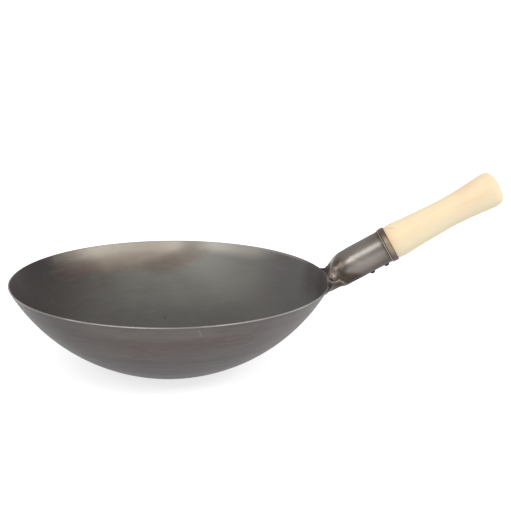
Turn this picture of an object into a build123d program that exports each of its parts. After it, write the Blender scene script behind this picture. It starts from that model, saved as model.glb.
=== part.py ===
from build123d import *
import os
from math import asin, cos, hypot, pi, radians, sin, sqrt, tan

os.makedirs("parts", exist_ok=True)

# The wok stands on its flat foot at Z = 0, with its axis on Z and its handle towards +X.

# Bowl: one sheet, spun to a round wall that ends in a soft-edged flat foot.
# The wall's section is an arc, its radius a share of the rim's.
rim_radius = 178.0
bowl_sheet = 1.5
wall_arc_share = 1.14
foot_flat_radius = 50.0
foot_blend_radius = 35.0
rim_edge_round = 0.4

# Handle axis: it meets the rim's cylinder a little above the rim and rises from there
handle_pitch = 30.0
axis_rise = 5.6

# Socket: a steel tube, open at the grip's end
socket_radius = 18.6
socket_sheet = 1.5
socket_length = 76.6

# Nose: the socket's wok end, pinched into a wide bill that is shaped to the wall and closed.
# Each row of shares is one upright section: its place outside the rim over the nose's reach,
# its half width, top, fold and belly over the tube's size, and the powers of its two curves.
# The nose laps the tube's outside by a hair, so the two meet in a clean step.
nose_reach = 20.0
nose_lap = 0.12
nose_corner_round = 0.4
nose_shares = (
    (1.30, 1.00, 1.00, 0.00, 1.00, 1.0, 1.0),
    (1.00, 1.00, 1.00, 0.00, 1.00, 1.0, 1.0),
    (0.50, 1.12, 1.00, 0.30, 0.84, 1.2, 1.1),
    (0.15, 1.45, 0.90, 0.22, 0.81, 1.6, 1.4),
    (-0.20, 2.40, 0.84, 0.08, 0.70, 1.65, 2.3),
    (-0.55, 3.00, 0.79, 0.02, 0.60, 1.65, 3.0),
)
nose_points = 6

# Ring pressed over the socket's open end, with a bead and a groove along its inner edge
ring_radius = 20.1
ring_length = 7.8
ring_bead = 1.6
ring_groove_width = 0.8
ring_groove_depth = 0.5
ring_edge_round = 0.5

# Grip: turned wood, with a tenon inside the socket
tenon_clearance = 0.3
tenon_length = 42.0
tenon_chamfer = 3.0
grip_length = 133.0
grip_radius = 19.8
# Outline of the grip from its shoulder to its rounded end: place over length, radius over radius
grip_side_shares = ((0, 0.95), (0.06, 0.985), (0.22, 0.92), (0.51, 0.835), (0.7, 0.88), (0.9, 0.99))
grip_end_shares = ((0.945, 0.965), (0.982, 0.80), (1, 0))

# Nails that hold the tenon, driven into the socket's underside, set back from its open end
nail_setbacks = (32.6, 15.0)
nail_head_radius = 3.5
nail_head_height = 2.8
nail_shank_radius = 1.4
nail_depth = 13.0
nail_point = 3.0
nail_clearance = 0.1

# Weld beads that join the nose to the wall and to the rim
wall_weld_size = 1.4
rim_weld_radius = 1.3
rim_weld_angle = 14.0

overrun = 60.0

# Places that follow from the sizes above
wall_arc_radius = wall_arc_share * rim_radius
blend_to_wall = wall_arc_radius - foot_blend_radius
wall_centre = foot_blend_radius + sqrt(blend_to_wall**2 - foot_flat_radius**2)
rim_height = wall_centre - sqrt(wall_arc_radius**2 - rim_radius**2)
rim_angle = asin(rim_radius / wall_arc_radius)
blend_angle = asin(foot_flat_radius / blend_to_wall)
pitch = radians(handle_pitch)
bore_radius = socket_radius - socket_sheet
joint_x = rim_radius + nose_shares[0][0] * nose_reach
axis_direction = (cos(pitch), 0, sin(pitch))
axis_up = (-sin(pitch), 0, cos(pitch))
axis_start = Plane((rim_radius, 0, rim_height + axis_rise), x_dir=axis_up, z_dir=axis_direction)


def wall_point(depth, angle):
    """Point of the wall's section, depth inside the outer face, at an angle from straight down."""
    reach = wall_arc_radius - depth
    return (reach * sin(angle), wall_centre - reach * cos(angle))


def blend_point(depth, angle):
    """Point of the curve between foot and wall, likewise."""
    reach = foot_blend_radius - depth
    return (foot_flat_radius + reach * sin(angle), foot_blend_radius - reach * cos(angle))


def bowl_line(depth):
    """The section's line at a depth inside the outer face, from the axis to the rim."""
    foot = Line((0, depth), (foot_flat_radius, depth))
    blend = ThreePointArc(foot @ 1, blend_point(depth, blend_angle / 2), blend_point(depth, blend_angle))
    middle = wall_point(depth, (blend_angle + rim_angle) / 2)
    wall = ThreePointArc(blend @ 1, middle, wall_point(depth, rim_angle))
    return foot, blend, wall


def turned(lines):
    """Solid turned about Z from a closed outline drawn in the XZ plane."""
    return revolve(Plane.XZ * make_face(Curve() + list(lines)), Axis.Z)


def make_bowl():
    outer = bowl_line(0)
    inner = bowl_line(bowl_sheet)
    rim = Line(outer[-1] @ 1, inner[-1] @ 1)
    axis = Line((0, 0), (0, bowl_sheet))
    bowl = turned((*outer, rim, *inner, axis))
    edges = bowl.edges().filter_by(GeomType.CIRCLE).sort_by(Axis.Z)[-2:]
    return fillet(edges, rim_edge_round)


def bowl_body(swell):
    """All that the wall's outer face holds, swollen, with an upright side above the rim."""
    outer = bowl_line(-swell)
    edge = outer[-1] @ 1
    side = Line(edge, (edge.X, rim_height + overrun))
    top = Line(side @ 1, (0, rim_height + overrun))
    axis = Line(top @ 1, (0, -swell))
    return turned((*outer, side, top, axis))


def on_axis(shape, place):
    """Moves a shape drawn about Z to a place along the handle's axis."""
    return axis_start.location * Pos(0, 0, place) * shape


def nose_section(row, inset, tip_inset):
    """Closed outline of the nose at one row of shares, inset from its outer face."""
    place, width, top, fold, belly, upper_power, lower_power = row
    out = place * nose_reach
    inset -= nose_lap
    slant_radius = socket_radius / cos(pitch)
    slant_inset = inset / cos(pitch)
    level = rim_height + axis_rise + out * tan(pitch)
    half = width * socket_radius - inset - tip_inset * (width - 1)
    high = level + top * slant_radius - slant_inset
    crease = level - fold * slant_radius
    low = level - belly * slant_radius + slant_inset
    turns = [pi / 2 * step / nose_points for step in range(-nose_points, nose_points + 1)]

    def curve(end, power):
        rise = [(half * sin(turn), (end - crease) * max(cos(turn), 0) ** power) for turn in turns]
        return Spline([(rim_radius + out, across, crease + up) for across, up in rise])

    return Wire([curve(high, upper_power), curve(low, lower_power)])


def nose_loft(inset, tip_inset):
    return Solid.make_loft([nose_section(row, inset, tip_inset) for row in nose_shares])


def make_tube(radius, bore):
    """The socket's straight stretch, cut square at the ring and upright where the nose begins."""
    reach = socket_length + overrun
    rod = Cylinder(radius, reach, align=(Align.CENTER, Align.CENTER, Align.MAX))
    if bore:
        rod -= Cylinder(bore, reach, align=(Align.CENTER, Align.CENTER, Align.MAX))
    side = 2 * (socket_length + overrun)
    beyond = Box(side, side, side, align=(Align.MIN, Align.CENTER, Align.CENTER))
    return on_axis(rod, socket_length) & (Pos(joint_x, 0, rim_height) * beyond)


def nail_holes(radius, depth):
    """Round cutters on the nails' lines, from below the socket to a depth in the wood."""
    reach = socket_radius + overrun
    hole = Cylinder(radius, reach, align=(Align.CENTER, Align.CENTER, Align.MIN))
    turned_down = Rot(0, -90, 0) * Pos(0, 0, socket_radius - depth) * hole
    return [on_axis(turned_down, socket_length - setback) for setback in nail_setbacks]


def make_nose():
    """The nose cut to the wall and hollowed, with a rounded corner over its upright front."""
    nose = nose_loft(0, 0) - bowl_body(0)
    edges = [edge for edge in nose.edges() if (edge @ 0.5).Z > rim_height + axis_rise]
    front = [edge for edge in edges if hypot((edge @ 0.5).X, (edge @ 0.5).Y) < rim_radius + nose_lap]
    nose = fillet(front, nose_corner_round)
    return nose - (nose_loft(socket_sheet, 2 * socket_sheet) - bowl_body(socket_sheet))


def make_socket():
    socket = make_nose() + make_tube(socket_radius, bore_radius)
    for hole in nail_holes(nail_shank_radius + nail_clearance, nail_depth):
        socket -= hole
    return socket


def make_ring():
    groove_radius = ring_radius - ring_groove_depth
    outline = Polyline(
        (socket_radius, 0),
        (ring_radius, 0),
        (ring_radius, ring_length - ring_bead - ring_groove_width),
        (groove_radius, ring_length - ring_bead - ring_groove_width / 2),
        (ring_radius, ring_length - ring_bead),
        (ring_radius, ring_length),
        (socket_radius, ring_length),
        close=True,
    )
    ring = turned([outline])
    ends = ring.edges().filter_by(GeomType.CIRCLE).group_by(SortBy.RADIUS)[-1].sort_by(Axis.Z)
    ring = fillet([ends[0], ends[-1]], ring_edge_round)
    return on_axis(Rot(180, 0, 0) * ring, socket_length)


def make_grip():
    """Turned about Z: the tenon below Z = 0, the shoulder at 0 and the rounded end on top."""
    tenon_radius = bore_radius - tenon_clearance
    points = [(radius * grip_radius, place * grip_length) for place, radius in grip_side_shares + grip_end_shares]
    side = Spline(points, tangents=[(0, 1), (-1, 0)])
    tenon = Polyline(
        side @ 1,
        (0, -tenon_length),
        (tenon_radius - tenon_chamfer, -tenon_length),
        (tenon_radius, tenon_chamfer - tenon_length),
        (tenon_radius, 0),
        side @ 0,
    )
    grip = on_axis(turned([side, tenon]), socket_length)
    for hole in nail_holes(nail_shank_radius, nail_depth):
        grip -= hole
    return grip


def make_nails():
    """Dome-headed nails, their heads shaped to the tube that they sit on."""
    cap_radius = (nail_head_radius**2 + nail_head_height**2) / (2 * nail_head_height)
    cap = Sphere(cap_radius)
    sink = socket_radius - sqrt(socket_radius**2 - nail_head_radius**2)
    head = Pos(0, 0, socket_radius + nail_head_height - cap_radius) * cap
    collar = Cylinder(nail_head_radius, nail_head_height + sink, align=(Align.CENTER, Align.CENTER, Align.MIN))
    head = head & (Pos(0, 0, socket_radius - sink) * collar)
    length = nail_depth - nail_point
    shank = Cylinder(nail_shank_radius, length, align=(Align.CENTER, Align.CENTER, Align.MAX))
    tip = Cone(0, nail_shank_radius, nail_point, align=(Align.CENTER, Align.CENTER, Align.MAX))
    pin = Pos(0, 0, socket_radius) * shank + Pos(0, 0, socket_radius - length) * tip
    tube = on_axis(Cylinder(socket_radius, 2 * socket_length), 0)
    nails = []
    for setback in nail_setbacks:
        place = socket_length - setback
        top = on_axis(Rot(0, -90, 0) * head, place) - tube
        nails.append(top + on_axis(Rot(0, -90, 0) * pin, place))
    return nails


def largest(shape):
    """The largest solid of a shape, without the crumbs that a cut can leave."""
    return shape.solids().sort_by(SortBy.VOLUME)[-1]


def make_wall_weld():
    """Bead along the nose's outline on the wall, from fold to fold under the handle."""
    around = nose_loft(-wall_weld_size, 0) - nose_loft(0, 0)
    layer = bowl_body(wall_weld_size) - bowl_body(0)
    side = 2 * rim_radius
    below = Box(side, side, side, align=(Align.MIN, Align.CENTER, Align.MAX))
    return largest(around & layer & (Pos(0, 0, rim_height) * below))


def make_rim_weld():
    """Bead in the corner between the rim's rounded edge and the nose's upright front."""
    corner = Vector(rim_radius, rim_height)
    inward = Vector(-sin(rim_angle), cos(rim_angle))
    upward = Vector(cos(rim_angle), sin(rim_angle))
    seat = corner + inward * rim_edge_round
    edge_centre = seat - upward * rim_edge_round
    middle = edge_centre + (upward - inward).normalized() * rim_edge_round
    between = edge_centre + (upward * 2 - inward).normalized() * rim_edge_round
    top = corner + Vector(0, rim_weld_radius)
    end = corner + inward * rim_weld_radius
    crown = corner + Vector(-sin(rim_angle / 2), cos(rim_angle / 2)) * rim_weld_radius
    crown_arc = ThreePointArc(top, crown, end)
    edge_arc = ThreePointArc(seat, between, middle)
    outline = (Line(corner, top), crown_arc, Line(end, seat), edge_arc, Line(middle, corner))
    section = Plane.XZ * make_face(Curve() + list(outline))
    return Rot(0, 0, -rim_weld_angle) * revolve(section, Axis.Z, 2 * rim_weld_angle)


nails = make_nails()
parts = {
    "wok_bowl": make_bowl(),
    "handle_socket": make_socket(),
    "socket_ring": make_ring(),
    "wood_grip": make_grip(),
    "grip_nail_inner": nails[0],
    "grip_nail_outer": nails[1],
    "wall_weld": make_wall_weld(),
    "rim_weld": make_rim_weld(),
}
for name, shape in parts.items():
    export_step(shape, f"parts/{name}.step")
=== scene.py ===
from bisect import bisect_right
from math import asin, atan2, cos, degrees, exp, hypot, pi, radians, sin, sqrt, tan

import bmesh
import bpy
from mathutils import Matrix, Vector, noise


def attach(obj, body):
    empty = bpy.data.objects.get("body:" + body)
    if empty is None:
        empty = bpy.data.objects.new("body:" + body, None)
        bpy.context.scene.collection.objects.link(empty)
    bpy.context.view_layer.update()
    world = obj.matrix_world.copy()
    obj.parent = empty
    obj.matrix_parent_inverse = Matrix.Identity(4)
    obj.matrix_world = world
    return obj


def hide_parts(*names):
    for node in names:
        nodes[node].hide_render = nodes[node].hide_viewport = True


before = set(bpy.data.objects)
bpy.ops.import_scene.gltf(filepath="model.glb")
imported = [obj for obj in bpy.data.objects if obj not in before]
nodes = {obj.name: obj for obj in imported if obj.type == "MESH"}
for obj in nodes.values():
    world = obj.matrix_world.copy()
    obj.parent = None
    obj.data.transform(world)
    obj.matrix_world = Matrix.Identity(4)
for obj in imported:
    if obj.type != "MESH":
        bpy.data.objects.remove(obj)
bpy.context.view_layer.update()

# Sizes of the CAD model that the detailed pieces follow, in metres
RIM_RADIUS = 0.178
SHEET = 0.0015
WALL_ARC = 1.14 * RIM_RADIUS
FOOT_FLAT = 0.050
FOOT_BLEND = 0.035
RIM_ROUND = 0.0004
PITCH = radians(30)
AXIS_RISE = 0.0056
SOCKET_RADIUS = 0.0186
SOCKET_SHEET = 0.0015
SOCKET_LENGTH = 0.0766
NOSE_REACH = 0.020
RING_RADIUS = 0.0201
RING_LENGTH = 0.0078
GRIP_RADIUS = 0.0198
GRIP_LENGTH = 0.133

# Places that follow from them
WALL_CENTRE = FOOT_BLEND + sqrt((WALL_ARC - FOOT_BLEND) ** 2 - FOOT_FLAT**2)
RIM_HEIGHT = WALL_CENTRE - sqrt(WALL_ARC**2 - RIM_RADIUS**2)
RIM_ANGLE = asin(RIM_RADIUS / WALL_ARC)
BLEND_ANGLE = asin(FOOT_FLAT / (WALL_ARC - FOOT_BLEND))
AXIS_START = Vector((RIM_RADIUS, 0, RIM_HEIGHT + AXIS_RISE))
AXIS = Vector((cos(PITCH), 0, sin(PITCH)))
AXIS_UP = Vector((-sin(PITCH), 0, cos(PITCH)))
NEAR = Vector((0, -1, 0))


# Material nodes


def linear(*shade):
    """A shade as it is seen, 0 to 255, as the linear colour that the shader takes."""
    parts = [part / 255 for part in shade]
    return tuple(part / 12.92 if part <= 0.04045 else ((part + 0.055) / 1.055) ** 2.4 for part in parts)


class Nodes:
    """A node tree, with short calls for its nodes."""

    def __init__(self, tree, kind):
        self.tree = tree
        tree.nodes.clear()
        self.output = tree.nodes.new("ShaderNodeOutput" + kind)

    def show(self, shader):
        self.tree.links.new(shader, self.output.inputs[0])

    def put(self, socket, value):
        if isinstance(value, bpy.types.NodeSocket):
            self.tree.links.new(value, socket)
        elif socket.type == "RGBA":
            socket.default_value = (*value, 1)
        else:
            socket.default_value = value

    def node(self, kind, inputs=None, out=0, **settings):
        new = self.tree.nodes.new("ShaderNode" + kind)
        for name, value in settings.items():
            setattr(new, name, value)
        for key, value in (inputs or {}).items():
            self.put(new.inputs[key], value)
        return new.outputs[out]

    def math(self, operation, a, b=0.0, c=0.0):
        return self.node("Math", {0: a, 1: b, 2: c}, operation=operation)

    def times(self, a, b):
        return self.math("MULTIPLY", a, b)

    def vector_math(self, operation, a, b=(0, 0, 0), out=0):
        return self.node("VectorMath", {0: a, 1: b}, out, operation=operation)

    def length(self, vector):
        return self.vector_math("LENGTH", vector, out="Value")

    def rotated(self, vector, angle, axis):
        return self.node("VectorRotate", {"Vector": vector, "Angle": angle}, rotation_type=axis)

    def split(self, vector):
        new = self.tree.nodes.new("ShaderNodeSeparateXYZ")
        self.put(new.inputs[0], vector)
        return new.outputs

    def join(self, x, y, z):
        return self.node("CombineXYZ", {0: x, 1: y, 2: z})

    def noise(self, vector, scale, detail=3.0, rough=0.55, warp=0.0):
        inputs = {"Vector": vector, "Scale": scale, "Detail": detail, "Roughness": rough}
        return self.node("TexNoise", {**inputs, "Distortion": warp}, "Fac")

    def step(self, value, low, high, to_low=0.0, to_high=1.0):
        """Smooth change from to_low to to_high as value goes from low to high."""
        inputs = {"Value": value, "From Min": low, "From Max": high, "To Min": to_low, "To Max": to_high}
        return self.node("MapRange", inputs, "Result", interpolation_type="SMOOTHSTEP")

    def mix(self, share, a, b, mode="MIX"):
        """A mix of two colours: the node's sockets 6 and 7, and its output 2."""
        return self.node("Mix", {"Factor": share, 6: a, 7: b}, 2, data_type="RGBA", blend_type=mode)

    def seen(self):
        """1 for the rays of the camera and of mirrors, and 0 for those that carry light."""
        path = self.tree.nodes.new("ShaderNodeLightPath")
        return self.math("MAXIMUM", path.outputs["Is Camera Ray"], path.outputs["Is Glossy Ray"])


class Finish(Nodes):
    """A material, with short calls for the layers that the surfaces share."""

    def __init__(self, name):
        self.material = bpy.data.materials.new(name)
        self.material.use_nodes = True
        super().__init__(self.material.node_tree, "Material")
        self.place = self.node("TexCoord", out="Object")

    def mark(self, name):
        """A value that the mesh holds at its points."""
        return self.node("Attribute", out="Fac", attribute_name=name)

    def blob(self, centre, radii, soft, turn, ragged):
        """1 inside an ellipsoid and 0 outside it, with a soft and perhaps ragged edge."""
        local = self.vector_math("SUBTRACT", self.place, centre)
        if turn:
            local = self.rotated(local, -turn, "Z_AXIS")
        reach = self.length(self.vector_math("DIVIDE", local, radii))
        if ragged:
            rough = self.noise(self.place, 30)
            reach = self.math("MULTIPLY_ADD", rough, ragged, self.math("SUBTRACT", reach, ragged / 2))
        return self.step(reach, 1 + soft / 2, 1 - soft / 2)

    def laid(self, base, mask, share, shade):
        """A base with a share of another shade laid over it where the mask is."""
        return self.mix(self.times(mask, share), base, linear(*shade))

    def tinted(self, base, zones):
        """A base with the patches of a zone table laid over it."""
        for centre, radii, soft, turn, ragged, share, shade in zones:
            base = self.laid(base, self.blob(centre, radii, soft, radians(turn), ragged), share, shade)
        return base

    def bump(self, height, strength, distance, normal=None):
        inputs = {"Height": height, "Strength": strength, "Distance": distance}
        if normal is not None:
            inputs["Normal"] = normal
        return self.node("Bump", inputs)

    def finish(self, base, rough, normal, metal=1.0, tint=(1, 1, 1)):
        """Closes the material, whose mirrored light takes the tint."""
        inputs = {"Base Color": base, "Roughness": rough, "Normal": normal}
        inputs.update({"Metallic": metal, "Specular Tint": tint})
        self.show(self.node("BsdfPrincipled", inputs))
        return self.material


# Rows of zone tables: a patch's centre and radii, its edge's softness, its turn in degrees round Z, its
# edge's raggedness, its share and its shade

# The bowl's inside: heat tints and the darker end by the handle; a painted reflection of the lamps over a
# warm tint on the far left wall, with brown tints round it; a painted sheen and a painted highlight under
# the far right rim; and small marks
INSIDE_ZONES = (
    # Painted reflection of the lamps, over a real warm tint
    ((-0.067, 0.165, 0.1), (0.09, 0.08, 0.024), 1.0, 22, 0.45, 0.95, (149, 142, 132)),
    ((-0.06, 0.15, 0.078), (0.08, 0.05, 0.01), 1.0, 22, 0.4, 0.45, (112, 96, 86)),
    ((-0.125, 0.105, 0.078), (0.034, 0.03, 0.009), 1.0, 40, 0.4, 0.4, (84, 70, 66)),
    ((0.02, 0.166, 0.091), (0.02, 0.03, 0.012), 1.1, 0, 0.7, 0.62, (88, 80, 73)),
    ((0.003, 0.162, 0.079), (0.022, 0.03, 0.008), 1.1, 0, 0.7, 0.6, (88, 80, 73)),
    ((-0.02, 0.155, 0.071), (0.026, 0.03, 0.008), 1.1, 0, 0.7, 0.5, (90, 82, 75)),
    # Painted sheen
    ((0.074, 0.14, 0.07), (0.054, 0.05, 0.029), 1.5, 0, 0.2, 0.62, (121, 120, 115)),
    # Painted highlight under the far right rim
    ((0.072, 0.158, 0.097), (0.046, 0.03, 0.01), 1.3, -26, 0.5, 0.8, (156, 152, 144)),
    ((0.135, 0.075, 0.07), (0.04, 0.06, 0.035), 1.2, 0, 0.2, 0.6, (94, 90, 93)),
    ((0.172, 0.045, 0.088), (0.022, 0.045, 0.03), 1.0, 0, 0.2, 0.8, (68, 61, 60)),
    ((0.178, 0.006, 0.088), (0.014, 0.05, 0.03), 0.8, 0, 0.5, 0.9, (42, 30, 29)),
    ((-0.01, 0.075, 0.015), (0.12, 0.05, 0.025), 1.0, 0, 0.2, 0.6, (86, 83, 81)),
    ((-0.0153, 0.0977, 0.0198), (0.0018, 0.0018, 0.0018), 0.8, 0, 0.4, 0.5, (58, 56, 56)),
    ((0.0674, 0.161, 0.0947), (0.0009, 0.003, 0.0026), 0.8, 0, 0.4, 0.5, (160, 152, 142)),
)

# Its outside: reddish bands under the rim, a darker left side, and a darker, cooler belly, a painted shade
# under the bowl
OUTSIDE_ZONES = (
    ((0.0, -0.172, 0.088), (0.12, 0.03, 0.009), 1.0, 0, 0.5, 0.5, (104, 98, 95)),
    ((0.02, -0.165, 0.074), (0.13, 0.03, 0.008), 1.0, 0, 0.6, 0.5, (88, 78, 75)),
    ((-0.11, -0.125, 0.078), (0.046, 0.046, 0.026), 1.0, 0, 0.3, 0.75, (77, 72, 73)),
    # Painted shade under the bowl
    ((0.0, -0.11, 0.028), (0.13, 0.06, 0.026), 1.0, 0, 0.2, 0.6, (79, 75, 78)),
)

# Its cut rim: darkened by the welding heat where the handle is welded on
EDGE_ZONES = (((0.178, 0.022, 0.098), (0.03, 0.036, 0.03), 0.25, 0, 0.0, 0.95, (62, 50, 48)),)

# The nose: a brown tint on its bulge, painted highlights beside the fold and on the front, painted shade
# under the fold and under the tube's front, and darker spots
SOCKET_ZONES = (
    ((0.1875, -0.015, 0.1192), (0.0085, 0.013, 0.0075), 0.9, 0, 0.5, 0.9, (76, 67, 60)),
    # Painted highlights
    ((0.203, -0.0175, 0.124), (0.009, 0.006, 0.003), 0.9, 0, 0.3, 0.45, (146, 139, 132)),
    ((0.1821, -0.0178, 0.1147), (0.0022, 0.004, 0.0035), 0.9, 0, 0.3, 0.5, (168, 158, 152)),
    # Darker spot
    ((0.1804, -0.0225, 0.109), (0.003, 0.005, 0.003), 0.9, 0, 0.3, 0.5, (84, 76, 71)),
    # Painted shade under the fold and under the tube's front
    ((0.1895, -0.0195, 0.1105), (0.006, 0.007, 0.005), 1.0, 0, 0.4, 0.75, (76, 70, 58)),
    ((0.199, -0.017, 0.105), (0.015, 0.018, 0.0075), 0.8, 0, 0.4, 0.85, (64, 60, 50)),
    ((0.208, -0.012, 0.103), (0.016, 0.018, 0.006), 0.9, 0, 0.4, 0.6, (74, 64, 64)),
    # Painted highlight on the front's corner
    ((0.178, 0.014, 0.101), (0.007, 0.04, 0.0185), 0.7, 0, 0.3, 0.85, (172, 158, 153)),
    # Darker spot
    ((0.1838, -0.0185, 0.113), (0.0055, 0.008, 0.0055), 1.0, 0, 0.3, 0.75, (86, 78, 72)),
    # Painted shade under the fold
    ((0.1885, -0.024, 0.1025), (0.006, 0.012, 0.0055), 0.9, 0, 0.4, 0.6, (84, 76, 60)),
)

# Where looks start or end: in X for the inside's dark end, a painted shade, its stronger streaks and its
# bright lip, a painted highlight, in depth under the rim for the lip, and in Y for the scratched side and
# the bright weld
SHADED_END = (-0.19, -0.03)
STRONG_STREAKS = (0.04, -0.06)
LIP_HIGHLIGHT_STARTS = (0.04, 0.10)
LIP_HIGHLIGHT_ENDS = (0.162, 0.146)
LIP_HIGHLIGHT_DEPTHS = (0.0024, 0.0008)
SCRATCHED_SIDE = (-0.10, -0.15)
BRIGHT_WELD_ENDS = (-0.040, -0.032)

# Likewise along the handle for the tube's end by the ring, darker as a painted shade, and up from its axis
# for the grip's lower side, lighter as painted light
TUBE_SHADED_END = (0.046, 0.068)
PAINTED_LIGHT_BELOW = (0.004, -0.010)

# Heights of the ring's three shades: a purple tint below, then a lighter middle band and a darker top, which
# are painted light and shade by height
RING_SHADE_HEIGHTS = (0.128, 0.142, 0.156)

# The outside's slanted scratch: its middle in X and Z, its slant and half its width and height
SCRATCH_X = 0.0421
SCRATCH_Z = 0.0909
SCRATCH_SLANT = 0.45
SCRATCH_WIDTH = 0.0005
SCRATCH_HEIGHT = 0.0042

# The grip's hair crack in the handle's own directions: its middle, turn and half sizes
CRACK_PLACE = (0.0843, -0.0090, 0.0168)
CRACK_TURN = radians(32.4)
CRACK_SIZES = (0.0046, 0.00035, 0.0060)

# Where a fine line fades, as shares of its size, and what darker marks leave of a base
LINE_EDGE_SHARES = (1.3, 0.7)
SPUN_STREAK = (0.66, 0.62, 0.60)
DRAWN_STREAK = (0.60, 0.58, 0.57)
SOCKET_MOTTLE = (0.70, 0.67, 0.66)


def mill_marks(f):
    """Marks of the mill that all the steel has: fine grain and slow clouds."""
    grain = f.noise(f.place, 1600, 2.0, 0.6)
    clouds = f.noise(f.place, 14, 4.0, 0.55, 0.6)
    return grain, clouds


def spin_marks(f):
    """Marks of spinning round Z: fine rings and long soft streaks."""
    x, y, z = f.split(f.place)
    radius = f.length(f.join(x, y, 0.0))
    turn = f.math("ARCTAN2", y, x)
    rings = f.noise(f.join(radius, f.times(turn, 0.004), z), 900, 2.0, 0.6)
    streaks = f.noise(f.join(radius, f.times(turn, 0.03), z), 190, 4.0, 0.62, 0.5)
    return rings, streaks


def sheet_relief(f, rings, grain):
    return f.bump(grain, 0.15, 0.0001, f.bump(rings, 0.25, 0.0002))


def bowl_inside():
    f = Finish("wok_steel_inside")
    grain, clouds = mill_marks(f)
    rings, streaks = spin_marks(f)
    across, _side, height = f.split(f.place)
    base = f.mix(f.step(clouds, 0.3, 0.7), linear(98, 95, 91), linear(105, 104, 99))
    # Darker towards the left end: a painted shade, where the wall mirrors the bowl's own dark side
    base = f.mix(f.step(across, *SHADED_END), linear(58, 52, 51), base)
    base = f.tinted(base, INSIDE_ZONES)
    strength = f.step(across, *STRONG_STREAKS, 0.10, 0.22)
    dark = f.times(f.step(streaks, 0.48, 0.74), strength)
    base = f.mix(dark, base, SPUN_STREAK, "MULTIPLY")
    base = f.mix(f.step(streaks, 0.44, 0.24, 0.0, 0.05), base, linear(170, 164, 156))
    # A bright band just under the rim on the right: a painted highlight along the edge
    low, high = (RIM_HEIGHT - depth for depth in LIP_HIGHLIGHT_DEPTHS)
    lip = f.times(f.step(height, low, high), f.step(across, *LIP_HIGHLIGHT_STARTS, 0.0, 0.55))
    lip = f.times(lip, f.step(across, *LIP_HIGHLIGHT_ENDS))
    base = f.mix(lip, base, linear(150, 146, 142))
    rough = f.step(clouds, 0.2, 0.8, 0.40, 0.50)
    rough = f.math("MULTIPLY_ADD", rings, 0.10, f.math("SUBTRACT", rough, 0.05))
    return f.finish(base, rough, sheet_relief(f, rings, grain))


def slanted_scratch(f):
    """A short fine scratch under the rim, on the near side alone."""
    x, y, z = f.split(f.place)
    up = f.math("SUBTRACT", z, SCRATCH_Z)
    across = f.math("SUBTRACT", f.math("MULTIPLY_ADD", up, SCRATCH_SLANT, x), SCRATCH_X)
    across = f.math("DIVIDE", across, SCRATCH_WIDTH)
    reach = f.length(f.join(across, f.math("DIVIDE", up, SCRATCH_HEIGHT), 0.0))
    return f.times(f.step(reach, *LINE_EDGE_SHARES), f.step(y, *SCRATCHED_SIDE))


def bowl_outside():
    f = Finish("wok_steel_outside")
    grain, clouds = mill_marks(f)
    rings, streaks = spin_marks(f)
    bands = f.noise(f.join(0.0, 0.0, f.split(f.place)[2]), 70, 3.0, 0.6)
    base = f.mix(f.step(clouds, 0.3, 0.7), linear(89, 84, 82), linear(97, 93, 93))
    base = f.laid(base, f.step(bands, 0.4, 0.65), 0.35, (96, 86, 81))
    base = f.tinted(base, OUTSIDE_ZONES)
    base = f.mix(f.step(streaks, 0.50, 0.72, 0.0, 0.30), base, SPUN_STREAK, "MULTIPLY")
    base = f.mix(f.step(streaks, 0.46, 0.28, 0.0, 0.20), base, linear(128, 112, 104))
    base = f.laid(base, slanted_scratch(f), 0.20, (176, 168, 162))
    rough = f.step(bands, 0.2, 0.8, 0.42, 0.52)
    return f.finish(base, rough, sheet_relief(f, rings, grain))


def bare_edge():
    """The cut rim: bright bare steel, made brighter still as a painted edge highlight, and dark from the
    welding heat where the handle is welded on.
    """
    f = Finish("wok_steel_edge")
    grain, clouds = mill_marks(f)
    base = f.mix(f.step(clouds, 0.35, 0.65), linear(168, 166, 163), linear(134, 131, 128))
    base = f.tinted(base, EDGE_ZONES)
    return f.finish(base, 0.4, f.bump(grain, 0.3, 0.0001))


def handle_place(f):
    """The place along the handle's axis, across it, and up from it."""
    moved = f.vector_math("SUBTRACT", f.place, tuple(AXIS_START))
    return f.split(f.rotated(moved, PITCH, "Y_AXIS"))


def socket_steel():
    f = Finish("socket_steel")
    grain, clouds = mill_marks(f)
    along, across, rise = handle_place(f)
    base = f.mix(f.step(clouds, 0.3, 0.7), linear(112, 106, 101), linear(125, 119, 114))
    drawn = f.noise(f.join(f.times(along, 0.12), across, rise), 260, 3.0, 0.6)
    base = f.mix(f.step(drawn, 0.48, 0.72, 0.0, 0.40), base, DRAWN_STREAK, "MULTIPLY")
    # Darker towards the ring: a painted shade that dims the highlight there
    base = f.mix(f.step(along, *TUBE_SHADED_END, 0.0, 0.40), base, DRAWN_STREAK, "MULTIPLY")
    mottle = f.noise(f.place, 130, 3.0, 0.6, 1.0)
    base = f.mix(f.step(mottle, 0.45, 0.75, 0.0, 0.35), base, SOCKET_MOTTLE, "MULTIPLY")
    base = f.tinted(base, SOCKET_ZONES)
    # Painted highlights along the fold's ridge, the bulge's edge and the front's corner, and a painted
    # reflection band along the tube, with some scuffing on the ridge
    base = f.laid(base, f.mark("wear_and_painted_light"), 0.9, (158, 151, 146))
    # Painted shade in the creases, under the fold, under the tube and by the ring
    base = f.laid(base, f.mark("painted_shade"), 0.9, (48, 41, 41))
    rough = f.step(clouds, 0.2, 0.8, 0.27, 0.35)
    rough = f.math("MULTIPLY_ADD", f.mark("painted_shade"), 0.25, rough)
    normal = f.bump(grain, 0.2, 0.0001)
    return f.finish(base, rough, normal, tint=(0.75, 0.72, 0.71))


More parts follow.
